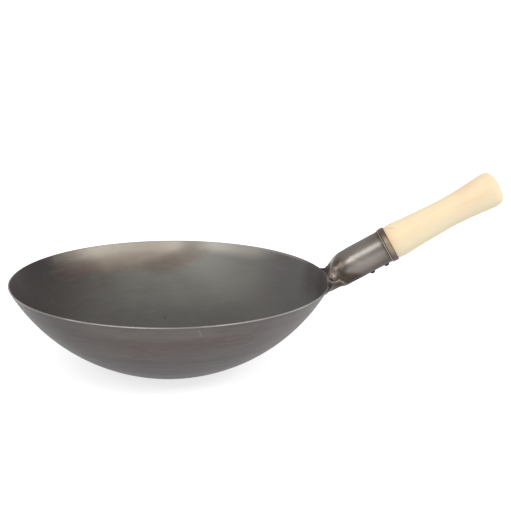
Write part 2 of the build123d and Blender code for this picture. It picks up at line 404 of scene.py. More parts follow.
def ring_steel():
    f = Finish("ring_steel")
    grain, clouds = mill_marks(f)
    height = f.split(f.place)[2]
    low, middle, high = RING_SHADE_HEIGHTS
    # By height: the lighter middle band is a painted reflection and the darker top a painted shade
    base = f.mix(f.step(height, low, middle), linear(96, 78, 82), linear(138, 130, 106))
    base = f.mix(f.step(height, middle, high), base, linear(98, 86, 78))
    # Painted highlight on the bead, with some scuffing
    base = f.laid(base, f.mark("wear_and_painted_light"), 0.8, (160, 152, 140))
    # Painted shadow in the groove and at the joints with the tube and the grip
    base = f.laid(base, f.mark("painted_shade"), 0.9, (50, 44, 42))
    rough = f.step(clouds, 0.2, 0.8, 0.40, 0.50)
    return f.finish(base, rough, f.bump(grain, 0.25, 0.0001))


def hair_crack(f, x, y, z):
    """A short thin line on the grip's upper side by the ring."""
    local = f.vector_math("SUBTRACT", f.join(x, y, z), CRACK_PLACE)
    local = f.rotated(local, CRACK_TURN, "Z_AXIS")
    return f.step(f.length(f.vector_math("DIVIDE", local, CRACK_SIZES)), *LINE_EDGE_SHARES)


def wood():
    f = Finish("grip_wood")
    x, y, z = handle_place(f)
    grain_place = f.join(f.times(x, 0.05), y, z)
    bands = f.noise(grain_place, 90, 3.0, 0.5, 1.0)
    fibres = f.noise(grain_place, 900, 3.0, 0.6)
    tint = f.noise(f.place, 26, 2.0, 0.5)
    base = f.mix(f.step(bands, 0.3, 0.7), linear(252, 232, 196), linear(250, 227, 186))
    base = f.mix(f.step(tint, 0.45, 0.75, 0.0, 0.6), base, linear(248, 214, 180))
    base = f.mix(f.step(fibres, 0.5, 0.8, 0.0, 0.22), base, linear(226, 192, 150))
    base = f.laid(base, hair_crack(f, x, y, z), 0.6, (176, 120, 76))
    # Darker scuffing round the end, and by the ring also a painted shadow line at the joint
    base = f.laid(base, f.mark("wear_and_painted_light"), 0.6, (240, 196, 156))
    # Lighter on the lower side: painted light in place of light from below
    base = f.mix(f.step(z, *PAINTED_LIGHT_BELOW, 0.0, 0.8), base, linear(255, 242, 208))
    rough = f.step(fibres, 0.2, 0.8, 0.45, 0.58)
    return f.finish(base, rough, f.bump(fibres, 0.25, 0.0001), metal=0.0)


def nail_steel():
    f = Finish("nail_steel")
    grain, clouds = mill_marks(f)
    base = f.mix(clouds, linear(34, 32, 32), linear(60, 56, 54))
    return f.finish(base, 0.45, f.bump(grain, 0.4, 0.0001))


def weld_steel():
    """Weld beads: dull silver at the near end and dark beyond it."""
    f = Finish("weld_steel")
    grain, clouds = mill_marks(f)
    base = f.mix(f.step(clouds, 0.35, 0.65), linear(150, 143, 138), linear(112, 104, 100))
    base = f.mix(f.step(f.split(f.place)[1], *BRIGHT_WELD_ENDS), base, linear(62, 54, 52))
    return f.finish(base, 0.38, f.bump(grain, 0.5, 0.0002))


# Meshes

SAME_POINT = 1e-7


def new_object(name, data):
    """An object of the scene."""
    new = bpy.data.objects.new(name, data)
    bpy.context.scene.collection.objects.link(new)
    return new


def turn_outward(mesh, join=False):
    """Turns a mesh's faces outward, after joining points that lie on each other if asked."""
    shape = bmesh.new()
    shape.from_mesh(mesh)
    if join:
        bmesh.ops.remove_doubles(shape, verts=shape.verts, dist=SAME_POINT)
    bmesh.ops.recalc_face_normals(shape, faces=shape.faces)
    shape.to_mesh(mesh)
    shape.free()


def make_piece(name, points, faces, materials, groups=None, marks=None):
    """A smooth mesh piece that rides on the wok's one body."""
    mesh = bpy.data.meshes.new(name)
    mesh.from_pydata(points, [], faces)
    for material in materials:
        mesh.materials.append(material)
    if groups:
        mesh.polygons.foreach_set("material_index", groups)
    for mark, values in (marks or {}).items():
        mesh.attributes.new(mark, "FLOAT", "POINT").data.foreach_set("value", values)
    turn_outward(mesh, join=True)
    mesh.polygons.foreach_set("use_smooth", [True] * len(mesh.polygons))
    mesh.validate()
    piece = new_object(name, mesh)
    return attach(piece, "root")


def grid_faces(rows, columns, closed=True, start=0):
    """Quads between rows of points from a start on, each row closed to a ring or left open."""
    faces = []
    for first in range(start, start + (rows - 1) * columns, columns):
        for step in range(columns if closed else columns - 1):
            a, b = first + step, first + (step + 1) % columns
            faces.append((a, b, b + columns, a + columns))
    return faces


def eased(table, key):
    """Value at a key of a table of (key, value), with soft changes between its rows."""
    for (low, first), (high, last) in zip(table, table[1:]):
        if key <= high:
            share = max(0.0, (key - low) / (high - low))
            return first + (last - first) * share * share * (3 - 2 * share)
    return table[-1][1]


def bell(distance, width):
    return exp(-((distance / width) ** 2))


def outward(turn):
    """Direction away from the handle's axis; turn 0 is its upper side and 90 degrees its near side."""
    return AXIS_UP * cos(turn) + NEAR * sin(turn)


def on_handle(along, radius, turn):
    """Point at a length along the handle's axis."""
    return AXIS_START + AXIS * along + outward(turn) * radius


def round_handle(profile, around):
    """Each point of an outline of (length along the axis, radius), turned round the handle."""
    for along, radius in profile:
        for step in range(around):
            turn = 2 * pi * step / around - pi
            yield along, radius, turn, on_handle(along, radius, turn)


# The bowl

INSIDE, OUTSIDE, EDGE = range(3)
BOWL_AROUND = 320
SECTION_STEPS = (14, 10, 84)

# How deep the sheet's slow waves and its spinning rings are
WAVE_DEPTH = 0.00022
SPIN_DEPTH = 0.00004
# How far from the handle and the bowl's axis the sheet stays nearer its true shape
TRUE_TURN = radians(30)
TRUE_RADIUS = 0.09


def section_line(depth):
    """Points of the bowl's section at a depth inside its outer face, from the axis to the rim."""
    flat, blend, wall = SECTION_STEPS
    line = [(FOOT_FLAT * step / flat, depth) for step in range(flat)]
    bend = FOOT_BLEND - depth
    for step in range(blend):
        angle = BLEND_ANGLE * step / blend
        line.append((FOOT_FLAT + bend * sin(angle), FOOT_BLEND - bend * cos(angle)))
    arc = WALL_ARC - depth
    for step in range(wall + 1):
        angle = BLEND_ANGLE + (RIM_ANGLE - BLEND_ANGLE) * step / wall
        line.append((arc * sin(angle), WALL_CENTRE - arc * cos(angle)))
    return line


def bowl_section():
    """The closed section from the inside's centre over the rim to the foot's centre."""
    inner = section_line(SHEET)
    outer = section_line(0)
    inner_end, outer_end = Vector(inner[-1]), Vector(outer[-1])
    across = (outer_end - inner_end).normalized()
    down = Vector((-cos(RIM_ANGLE), -sin(RIM_ANGLE)))
    section = [(point, INSIDE) for point in inner[:-1]]
    rising = [radians(turn) for turn in (0, 30, 60, 90)]
    for end, way, turns in ((inner_end, across, rising), (outer_end, -across, rising[::-1])):
        for turn in turns:
            point = end + way * RIM_ROUND * (1 - cos(turn)) + down * RIM_ROUND * (1 - sin(turn))
            section.append((tuple(point), EDGE))
    section += [(point, OUTSIDE) for point in reversed(outer[:-1])]
    return section


def warp(turn, radius, height):
    """How far the sheet lies off its true round, below zero for inwards: slow waves and faint rings."""
    slow = noise.noise(Vector((cos(turn) * 1.3, sin(turn) * 1.3, height * 14)))
    rings = noise.noise(Vector((height * 160, radius * 90, cos(turn) * 0.3)))
    amount = -WAVE_DEPTH * (1 + slow) / 2 - SPIN_DEPTH * (1 + rings) / 2
    near_handle = max(0.0, 1 - abs(turn) / TRUE_TURN)
    near_foot = max(0.0, 1 - radius / TRUE_RADIUS)
    return amount * (1 - near_handle) * (1 - near_foot)


def make_bowl(materials):
    """The spun sheet, with the inside, the outside and the cut edge as three material groups."""
    section = bowl_section()
    points, groups = [], []
    rows = section[1:-1]
    for (radius, height), _group in rows:
        for step in range(BOWL_AROUND):
            turn = 2 * pi * step / BOWL_AROUND
            if turn > pi:
                turn -= 2 * pi
            shift = warp(turn, radius, height)
            angle = min(RIM_ANGLE, asin(min(1, radius / WALL_ARC)))
            reach, up = radius + shift * sin(angle), height - shift * cos(angle)
            points.append((reach * cos(turn), reach * sin(turn), up))
    faces = grid_faces(len(rows), BOWL_AROUND)
    for (_point, here), (_next, after) in zip(rows, rows[1:]):
        groups += [min(here, after)] * BOWL_AROUND
    first, last = len(points), len(points) + 1
    points += [(0, 0, section[0][0][1]), (0, 0, section[-1][0][1])]
    bottom = (len(rows) - 1) * BOWL_AROUND
    for step in range(BOWL_AROUND):
        after = (step + 1) % BOWL_AROUND
        faces += [(first, after, step), (last, bottom + step, bottom + after)]
        groups += [INSIDE, OUTSIDE]
    return make_piece("bowl_sheet", points, faces, materials, groups)


# The handle socket

# The nose's upright sections: place outside the rim over the nose's reach, half width, top, fold
# and belly over the tube's size, and the powers of the upper and the lower curve
NOSE_SHARES = (
    (-0.55, 3.0, 0.79, 0.02, 0.6, 2.6, 3.0),
    (-0.2, 2.4, 0.84, 0.1, 0.7, 2.6, 2.3),
    (0.15, 1.45, 0.885, 0.22, 0.81, 1.8, 1.4),
    (0.5, 1.12, 0.98, 0.3, 0.84, 1.2, 1.1),
    (1.0, 1.0, 1.0, 0.0, 1.0, 1.0, 1.0),
    (1.3, 1.0, 1.0, 0.0, 1.0, 1.0, 1.0),
)
NOSE_END = NOSE_SHARES[-1][0]

# How far the upright front leans from the rim's cylinder at its top, by degrees round the nose
FRONT_LEANS = (
    (-90, 0.0), (-40, 0.0), (0, 0.0030), (20, -0.0004),
    (36, -0.0032), (52, -0.0014), (70, 0.0010), (90, 0.0),
)
FRONT_LEAN_POWER = 1.5
# Radius of the corner over the front, likewise, and the most that it takes of the front's height
FRONT_ROUNDS = ((-90, 0.0010), (-55, 0.0040), (-15, 0.0075), (12, 0.0050), (32, 0.0012), (90, 0.0008))
MOST_ROUND_SHARE = 0.6

# Lines on the nose as (place, degrees round it): the ridge of the fold, the crease over it and the strip
# under it, the crease behind the front's corner, and the bulge's edge, a painted highlight, and its dark
# side, a painted shade
NOSE_LINES = {
    "ridge": ((-0.11, 50), (0.05, 64), (0.29, 82), (0.46, 84), (0.61, 104), (0.73, 124), (0.90, 146)),
    "crease": ((-0.06, 47), (0.09, 59), (0.29, 74), (0.46, 77), (0.66, 98), (0.92, 128)),
    "strip": ((-0.24, 62), (-0.11, 64), (0.09, 83), (0.32, 103), (0.56, 122), (0.80, 165)),
    "corner": ((0.30, -14), (0.14, 8), (0.02, 16), (-0.06, 23), (-0.11, 30), (-0.16, 38)),
    "edge": ((0.14, 36), (0.31, 54), (0.47, 70)),
    "shade": ((0.40, 58), (0.71, 84), (1.05, 122)),
}
# How far a line is pressed out or in, its share of painted highlight, the ridge's with some scuffing, and
# its share of painted shade, each with half its width
PRESSED_LINES = {"ridge": (0.0006, 0.0012), "crease": (-0.0005, 0.0013), "corner": (-0.0005, 0.0012)}
HIGHLIGHT_AND_SCUFF_LINES = {"ridge": (0.6, 0.0009), "edge": (0.15, 0.0011)}
# Painted shade in the creases
SHADED_CREASES = {"crease": (0.7, 0.0012), "corner": (0.75, 0.0011)}
# Painted shade under the fold and on the bulge's dark side
SHADED_SIDES = {"strip": (0.75, 0.0050), "shade": (0.45, 0.0030)}
# Strongest painted shade of the belly under the fold, and how far from the ridge it is reached
BELLY_SHADE = 0.78
BELLY_START = 0.002

# The bulge over the fold: its (place, degrees), lift and half width, and how far the lines lie from it
NOSE_BULGE = (0.42, 34)
BULGE_LIFT = 0.0005
BULGE_WIDTH = 0.008
LINES_REACH = 0.05

# Where along the tube its painted reflection bands start, over what length they grow, and the half width of
# the painted shadow by the ring
REFLECTION_START = 0.018
REFLECTION_GROWTH = 0.02
RING_SHADOW_WIDTH = 0.0022

# The sheet's faint dents as (depth, how many to a metre)
SOCKET_DENTS = ((0.00012, 55), (0.00004, 210))

# The mesh's steps, how its rows crowd towards the front, and its hidden parts
SOCKET_AROUND = 240
TUBE_ROWS = 40
NOSE_STEPS = 84
CORNER_STEPS = 9
FRONT_STEPS = 12
CAP_STEPS = 4
LINE_STEPS = 5
NOSE_CROWDING = 1.25
CAP_CLEARANCE = 0.00003
BORE_DEPTH = 0.044


def nose_shares(place):
    """The row of shares at a place, on smooth curves through the given rows."""
    keys = [row[0] for row in NOSE_SHARES]
    place = min(max(place, keys[0]), keys[-1])
    at = min(bisect_right(keys, place) - 1, len(NOSE_SHARES) - 2)
    low, high = NOSE_SHARES[at], NOSE_SHARES[at + 1]
    span = high[0] - low[0]
    share = (place - low[0]) / span

    def slope(row, column):
        if row in (0, len(NOSE_SHARES) - 1):
            return 0.0
        before, here, after = NOSE_SHARES[row - 1 : row + 2]
        left = (here[column] - before[column]) / (here[0] - before[0])
        right = (after[column] - here[column]) / (after[0] - here[0])
        return 2 * left * right / (left + right) if left * right > 0 else 0.0

    shares = []
    for column in range(1, len(low)):
        rise = high[column] - low[column]
        bend_in = span * slope(at, column) - rise
        bend_out = rise - span * slope(at + 1, column)
        curve = (1 - share) * share * (bend_in * (1 - share) + bend_out * share)
        shares.append(low[column] + rise * share + curve)
    return shares


def nose_point(place, turn):
    """Point of the nose; turn 0 is its top, 90 degrees its near fold and 180 its belly."""
    width, top, fold, belly, upper_power, lower_power = nose_shares(place)
    out = place * NOSE_REACH
    slant_radius = SOCKET_RADIUS / cos(PITCH)
    level = RIM_HEIGHT + AXIS_RISE + out * tan(PITCH)
    crease = level - fold * slant_radius
    if cos(turn) >= 0:
        rise = (level + top * slant_radius - crease) * cos(turn) ** upper_power
    else:
        rise = (level - belly * slant_radius - crease) * (-cos(turn)) ** lower_power
    return Vector((RIM_RADIUS + out, -width * SOCKET_RADIUS * sin(turn), crease + rise))


def wall_reach(height):
    """Distance from the bowl's axis to the wall's outer face, or to the rim's cylinder above it."""
    if height >= RIM_HEIGHT:
        return RIM_RADIUS
    return sqrt(WALL_ARC**2 - (WALL_CENTRE - height) ** 2)


def front_place(turn):
    """Place where the nose's line at a turn meets the wall or the upright front, found by halving."""
    lean = eased(FRONT_LEANS, degrees(turn)) if abs(turn) < pi / 2 else 0.0
    low, high = NOSE_SHARES[0][0] - 0.2, NOSE_END
    for _try in range(36):
        middle = (low + high) / 2
        point = nose_point(middle, turn)
        if hypot(point.x, point.y) > wall_reach(point.z) + (lean if point.z > RIM_HEIGHT else 0):
            high = middle
        else:
            low = middle
    return high


def socket_column(turn):
    """Points from the tube's open end to the front at one turn, and the front's sharp corner."""
    slant = (NOSE_END * NOSE_REACH + SOCKET_RADIUS * cos(turn) * sin(PITCH)) / cos(PITCH)
    column = []
    for step in range(TUBE_ROWS):
        along = SOCKET_LENGTH + (slant - SOCKET_LENGTH) * step / TUBE_ROWS
        column.append(on_handle(along, SOCKET_RADIUS, turn))
    front = front_place(turn)
    corner = nose_point(front, turn)
    pull = 0.0
    if abs(turn) < pi / 2:
        run = (nose_point(front + 0.05, turn) - corner).length / 0.05
        height = max(corner.z - RIM_HEIGHT, 0.0)
        pull = min(eased(FRONT_ROUNDS, degrees(turn)), MOST_ROUND_SHARE * height) / run
    for step in range(NOSE_STEPS + 1):
        share = 1 - (1 - step / NOSE_STEPS) ** NOSE_CROWDING
        column.append(nose_point(NOSE_END + (front + pull - NOSE_END) * share, turn))
    return column, corner


def front_strip(turn, corner, inner):
    """Points from the nose's surface round the front's corner and down to the rim."""
    away = hypot(corner.x, corner.y)
    compass = Vector((corner.x / away, corner.y / away, 0))
    height = max(corner.z - RIM_HEIGHT, 0.00001)
    lean = away - RIM_RADIUS

    def front(share):
        """Point of the upright front at a share of its height over the rim."""
        level = Vector((0, 0, RIM_HEIGHT + height * share))
        return compass * (RIM_RADIUS + lean * share**FRONT_LEAN_POWER) + level

    round_share = 1 - min(eased(FRONT_ROUNDS, degrees(turn)) / height, MOST_ROUND_SHARE)
    end = front(round_share)
    strip = []
    for step in range(1, CORNER_STEPS + 1):
        share = step / CORNER_STEPS
        strip.append(inner * (1 - share) ** 2 + corner * 2 * share * (1 - share) + end * share**2)
    for step in range(1, FRONT_STEPS + 1):
        strip.append(front(round_share * (1 - step / FRONT_STEPS)))
    return strip


def hidden_cap(base, far_end):
    """Points from the front's foot close over the wall to the lower half's end."""
    cap = []
    for step in range(1, CAP_STEPS):
        between = base.lerp(far_end, step / CAP_STEPS)
        away = hypot(between.x, between.y)
        reach = wall_reach(between.z) + CAP_CLEARANCE
        cap.append(Vector((between.x / away * reach, between.y / away * reach, between.z)))
    return cap + [far_end]


def make_socket(material):
    """Tube, pinched nose and upright front as one closed mesh, with pressed lines and small dents."""
    count = SOCKET_AROUND
    turns = [2 * pi * step / count - pi for step in range(count)]
    columns, corners = zip(*(socket_column(turn) for turn in turns))
    rows = len(columns[0])
    points = [column[row] for row in range(rows) for column in columns]
    faces = grid_faces(rows, count)

    # The upper half's strip over the upright front and the hidden cap to the lower half's end
    upper = [step for step in range(count) if abs(turns[step]) <= pi / 2 + 1e-9]
    last_row = (rows - 1) * count
    strips = []
    for step in upper:
        end = columns[step][-1]
        strip = front_strip(turns[step], corners[step], end)
        strip += hidden_cap(strip[-1], columns[(count // 2 - step) % count][-1])
        if step in (upper[0], upper[-1]):
            strip = [end] * len(strip)
        strips.append(strip)
    strip_rows = len(strips[0])
    start = len(points)
    points += [strip[row] for row in range(strip_rows) for strip in strips]
    for place in range(len(upper) - 1):
        a, b = last_row + upper[place], last_row + upper[place + 1]
        faces.append((a, b, start + place + 1, start + place))
    faces += grid_faces(strip_rows, len(upper), closed=False, start=start)

    # The open end: the sheet's edge, the bore and a hidden end inside the nose
    inside = len(points)
    bore = SOCKET_RADIUS - SOCKET_SHEET
    for depth in (0.0, BORE_DEPTH / 2, BORE_DEPTH):
        points += [on_handle(SOCKET_LENGTH - depth, bore, turn) for turn in turns]
    points.append(on_handle(SOCKET_LENGTH - BORE_DEPTH, 0, 0))
    for step in range(count):
        after = (step + 1) % count
        faces.append((after, step, inside + step, inside + after))
        faces.append((len(points) - 1, inside + 2 * count + after, inside + 2 * count + step))
    faces += grid_faces(3, count, start=inside)

    # Where the painted highlight along the corner over the front is, and the painted shade of the belly from
    # the fold down
    edges = [0.0] * len(points)
    for row in range(CORNER_STEPS):
        across = bell(row - CORNER_STEPS / 2, CORNER_STEPS / 1.8)
        for place, step in enumerate(upper):
            edges[start + row * len(upper) + place] = across * bell(degrees(turns[step]) - 6, 52)
    belly = [0.0] * len(points)
    for row in range(TUBE_ROWS, rows):
        along = eased(((0.2, 0.0), (0.5, 1.0)), (row - TUBE_ROWS) / NOSE_STEPS)
        for step in range(count):
            belly[row * count + step] = along * eased(((80, 0.0), (96, 1.0)), degrees(abs(turns[step])))
    return dressed_socket(points, faces, start, inside, edges, belly, material)


def line_distance(point, line):
    """Distance from a point to a chain of straight runs."""
    least = 1.0
    for start, end in zip(line, line[1:]):
        run = end - start
        share = min(max((point - start).dot(run) / run.length_squared, 0), 1)
        least = min(least, (point - start - run * share).length)
    return least


def fine_line(line):
    """3-D points along a chain of (place, degrees) on the nose."""
    points = []
    for (place, turn), (next_place, next_turn) in zip(line, line[1:]):
        for step in range(LINE_STEPS):
            share = step / LINE_STEPS
            here = place + (next_place - place) * share
            points.append(nose_point(here, radians(turn + (next_turn - turn) * share)))
    return points + [nose_point(line[-1][0], radians(line[-1][1]))]


def strongest(lines, away):
    """The strongest mark of some lines, from the distance to each of them."""
    return max(share * bell(away[name], width) for name, (share, width) in lines.items())


def nose_marks(point, lines, bulge, on_front, belly):
    """Lift, painted highlight and painted shade at a point of the nose, whose far side mirrors the near one.
    """
    near = Vector((point.x, -abs(point.y), point.z))
    reach = (near - bulge).length
    if reach >= LINES_REACH:
        return 0.0, 0.0, 0.0
    away = {name: line_distance(near, line) for name, line in lines.items()}
    lift = BULGE_LIFT * bell(reach, BULGE_WIDTH)
    for name, (height, width) in PRESSED_LINES.items():
        lift += height * bell(away[name], width)
    highlight_and_wear = strongest(HIGHLIGHT_AND_SCUFF_LINES, away)
    shading = max(strongest(SHADED_SIDES, away), BELLY_SHADE * belly * min(1, away["ridge"] / BELLY_START))
    if not on_front:
        shading = max(shading, strongest(SHADED_CREASES, away))
    return lift, highlight_and_wear, shading * (1 - highlight_and_wear)


def tube_marks(along, turn):
    """Painted light and shade of the tube: a painted reflection band along its sides, painted shade below
    and a painted shadow by the ring.
    """
    side = degrees(abs(turn))
    reflection_band = min(max((along - REFLECTION_START) / REFLECTION_GROWTH, 0), 1)
    highlight_and_wear = 0.28 * reflection_band * bell(side - 88, 11)
    below = 0.5 * eased(((104, 0.0), (130, 1.0)), side)
    by_ring = 0.6 * bell(along - (SOCKET_LENGTH - RING_LENGTH), RING_SHADOW_WIDTH)
    return highlight_and_wear, max(below, by_ring)


def dressed_socket(points, faces, front, inside, edges, belly, material):
    """Presses the nose's lines and the sheet's faint dents into the mesh, and marks painted highlights, with
    some scuffing, and painted shade.
    """
    draft = bpy.data.meshes.new("draft")
    draft.from_pydata(points, [], faces)
    turn_outward(draft)
    normals = [vertex.normal.copy() for vertex in draft.vertices]
    bpy.data.meshes.remove(draft)
    lines = {name: fine_line(line) for name, line in NOSE_LINES.items()}
    bulge = nose_point(NOSE_BULGE[0], radians(NOSE_BULGE[1]))
    moved, wear_and_painted_light, painted_shade = [], [], []
    for at, point in enumerate(points):
        lift = highlight_and_wear = shading = 0.0
        if at < inside:
            lift, highlight_and_wear, shading = nose_marks(point, lines, bulge, at >= front, belly[at])
            for depth, count in SOCKET_DENTS:
                lift += depth * noise.noise(point * count)
            along = (point - AXIS_START).dot(AXIS)
            arm = point - AXIS_START - AXIS * along
            tube_highlight, tube_shading = tube_marks(along, atan2(arm.dot(NEAR), arm.dot(AXIS_UP)))
            # The corner over the front gets a painted highlight
            highlight_and_wear = max(highlight_and_wear, tube_highlight, 0.95 * edges[at])
            shading = max(shading, tube_shading) * (1 - edges[at])
        moved.append(point + normals[at] * lift)
        wear_and_painted_light.append(highlight_and_wear)
        painted_shade.append(shading)
    return make_piece("socket_shell", moved, faces, [material], marks={"wear_and_painted_light": wear_and_painted_light, "painted_shade": painted_shade})


# The ring, whose groove is drawn in shares of its width and depth

RING_AROUND = 160
RING_SEAT = SOCKET_RADIUS + 0.00002
RING_START = SOCKET_LENGTH - RING_LENGTH
RING_BEAD = 0.0008
GROOVE_WIDTH = 0.0003
GROOVE_DEPTH = 0.0006
GROOVE_SHARES = ((-2 / 3, 1 / 2), (0, 1), (1, 1), (2, 1 / 3))
BAND_START = 0.0007
BAND_CROWN = 0.0002
BAND_ROUND = 0.0005
BAND_DROP = 0.0001
BAND_LIP = 0.0004
RING_DENT = (0.00006, 120)

# Half widths of the painted highlight on its bead, with some scuffing, and of the painted shadow in its
# groove, by the tube and by the grip
BEAD_HIGHLIGHT_AND_SCUFF = 0.0006
GROOVE_SHADOW = 0.0004
TUBE_SHADOW = 0.0003


def ring_profile(groove):
    """The ring's outline as (length along the axis, radius), from bead to lip."""
    profile = [(RING_START + RING_BEAD, RING_SEAT)]
    for turn in map(radians, range(-90, 91, 15)):
        along = RING_START + RING_BEAD - RING_BEAD * cos(turn)
        profile.append((along, RING_RADIUS - RING_BEAD + RING_BEAD * sin(turn)))
    for place, depth in GROOVE_SHARES:
        profile.append((groove + place * GROOVE_WIDTH, RING_RADIUS - depth * GROOVE_DEPTH))
    start, end = groove + BAND_START, SOCKET_LENGTH - BAND_ROUND
    for share in (0.1, 0.25, 0.5, 0.75, 0.9):
        profile.append((start + (end - start) * share, RING_RADIUS - BAND_CROWN * (2 * share - 1) ** 2))
    for turn in map(radians, (30, 60, 90)):
        radius = RING_RADIUS - BAND_ROUND + BAND_ROUND * cos(turn) - BAND_DROP
        profile.append((end + BAND_ROUND * sin(turn), radius))
    return profile + [(SOCKET_LENGTH, SOCKET_RADIUS + BAND_LIP), (SOCKET_LENGTH, RING_SEAT)]


def make_ring(material):
    """Pressed ring with a rolled bead, a groove and a slightly crowned band."""
    groove = RING_START + 2 * RING_BEAD
    profile = ring_profile(groove)
    depth, count = RING_DENT
    points = []
    for _along, _radius, turn, point in round_handle(profile, RING_AROUND):
        points.append(point + outward(turn) * (depth * noise.noise(point * count)))
    faces = grid_faces(len(profile), RING_AROUND)
    last_row = (len(profile) - 1) * RING_AROUND
    for step in range(RING_AROUND):
        after = (step + 1) % RING_AROUND
        faces.append((last_row + step, last_row + after, after, step))
    wear_and_painted_light, painted_shade = [], []
    for along, radius in profile:
        on_bead = bell(along - RING_START - RING_BEAD, BEAD_HIGHLIGHT_AND_SCUFF) if radius > RING_RADIUS - BAND_ROUND else 0
        in_groove = bell(along - groove - GROOVE_WIDTH / 3, GROOVE_SHADOW)
        at_tube = bell(along - RING_START, TUBE_SHADOW)
        at_grip = 0.8 * bell(along - SOCKET_LENGTH, GROOVE_SHADOW)
        wear_and_painted_light += [on_bead] * RING_AROUND
        painted_shade += [max(in_groove, at_tube, at_grip)] * RING_AROUND
    return make_piece("ring_band", points, faces, [material], marks={"wear_and_painted_light": wear_and_painted_light, "painted_shade": painted_shade})


# The grip's side and end: place over its length, radius over the largest radius
GRIP_SHARES = (
    (0.0, 0.93), (0.004, 0.948), (0.06, 0.985), (0.14, 0.955), (0.22, 0.92), (0.36, 0.87),
    (0.51, 0.835), (0.61, 0.85), (0.7, 0.88), (0.8, 0.938), (0.88, 0.982), (0.915, 0.99),
    (0.945, 0.96), (0.967, 0.88), (0.983, 0.765), (0.992, 0.58), (0.998, 0.32), (1.0, 0.0),
)
GRIP_AROUND = 160
GRIP_PARTS = 8
GRIP_WAVE = 0.0001
# Half widths of the darker scuffed band round its end and by the ring
END_WEAR = 0.006
COLLAR_WEAR = 0.004

# Its tenon in the socket
TENON_RADIUS = SOCKET_RADIUS - SOCKET_SHEET - 0.0003
TENON_LENGTH = 0.042
TENON_BEVEL = 0.003
TENON_STEP = 0.0002


def catmull(before, low, high, after, share):
    """Point between low and high on a smooth curve through four points."""
    result = []
    for a, b, c, d in zip(before, low, high, after):
        slope, curve = c - a, 2 * a - 5 * b + 4 * c - d
        twist = 3 * b - a - 3 * c + d
        result.append(b + 0.5 * share * (slope + share * (curve + share * twist)))
    return tuple(result)


def grip_profile():
    """The outline of the tenon and the grip as (length along the axis, radius)."""
    shares = [GRIP_SHARES[0]]
    table = GRIP_SHARES[:1] + GRIP_SHARES + GRIP_SHARES[-1:]
    for before, low, high, after in zip(table, table[1:], table[2:], table[3:]):
        for part in range(1, GRIP_PARTS + 1):
            shares.append(catmull(before, low, high, after, part / GRIP_PARTS))
    profile = [(-TENON_LENGTH, 0.0), (-TENON_LENGTH, TENON_RADIUS - TENON_BEVEL)]
    profile += [(place, TENON_RADIUS) for place in (TENON_BEVEL - TENON_LENGTH, -TENON_STEP, 0.0)]
    profile += [(place * GRIP_LENGTH, radius * GRIP_RADIUS) for place, radius in shares]
    return [(SOCKET_LENGTH + along, radius) for along, radius in profile]


def make_grip(material):
    """Turned grip with faint waves and soft end corners, scuffed darker at its end and by the ring, where
    the band is also a painted shadow line at the joint.
    """
    profile = grip_profile()
    points, wear_and_painted_light = [], []
    for along, radius, turn, point in round_handle(profile, GRIP_AROUND):
        past = along - SOCKET_LENGTH
        wave = 0.0
        if past > 0:
            wave = GRIP_WAVE * noise.noise(Vector((past * 60, cos(turn) * 0.7, sin(turn) * 0.7)))
        points.append(point + outward(turn) * min(radius, wave))
        end_wear = 0.8 * bell(past - 0.95 * GRIP_LENGTH, END_WEAR) * (0.5 + 0.5 * noise.noise(point * 90))
        wear_and_painted_light.append(max(end_wear, 0.8 * bell(past, COLLAR_WEAR)))
    faces = grid_faces(len(profile), GRIP_AROUND)
    return make_piece("grip_turned", points, faces, [material], marks={"wear_and_painted_light": wear_and_painted_light})


# The weld beads

BEAD_AROUND = 14
BEAD_RIPPLE = 0.0016
BEAD_SWELL = 0.16
BEAD_LUMPS = (0.2, 300)
BEAD_TIP = 0.25
BEAD_TIP_STEPS = 6
BEAD_FLATNESS = 0.4

# From and to, in degrees round the nose
WALL_BEAD_TURNS = (96, 264)
WALL_BEAD_STEPS = 120
WALL_BEAD_SIZE = 0.0011
WALL_BEAD_RISE = 0.0003
WALL_BEAD_LEAN = Vector((0, 0, -0.8))

# To either side of the handle, in degrees round the bowl
RIM_BEAD_TURN = 13.8
RIM_BEAD_STEPS = 100
RIM_BEAD_SIZE = 0.0008
RIM_BEAD_SHIFT = 0.0004


def make_bead(name, path, ups, size, material):
    """Weld bead: a lumpy rope along a path, half round above and flattened below, by its ups."""
    points, run = [], 0.0
    lumps, count = BEAD_LUMPS
    for at, centre in enumerate(path):
        before, after = path[max(at - 1, 0)], path[min(at + 1, len(path) - 1)]
        ahead = (after - before).normalized()
        up = (ups[at] - ahead * ups[at].dot(ahead)).normalized()
        side = ahead.cross(up)
        run += (centre - before).length
        swell = 1 + BEAD_SWELL * sin(2 * pi * run / BEAD_RIPPLE) + lumps * noise.noise(centre * count)
        to_tip = min(at, len(path) - 1 - at)
        radius = size * swell * min(1.0, BEAD_TIP + to_tip / BEAD_TIP_STEPS)
        for step in range(BEAD_AROUND):
            turn = 2 * pi * step / BEAD_AROUND
            rise = sin(turn) * (1 if sin(turn) > 0 else BEAD_FLATNESS)
            points.append(centre + side * radius * cos(turn) + up * radius * rise)
    faces = grid_faces(len(path), BEAD_AROUND)
    for row in (0, len(path) - 1):
        tip = len(points)
        points.append(path[row].copy())
        for step in range(BEAD_AROUND):
            a, b = row * BEAD_AROUND + step, row * BEAD_AROUND + (step + 1) % BEAD_AROUND
            faces.append((tip, b, a) if row == 0 else (tip, a, b))
    return make_piece(name, points, faces, [material])


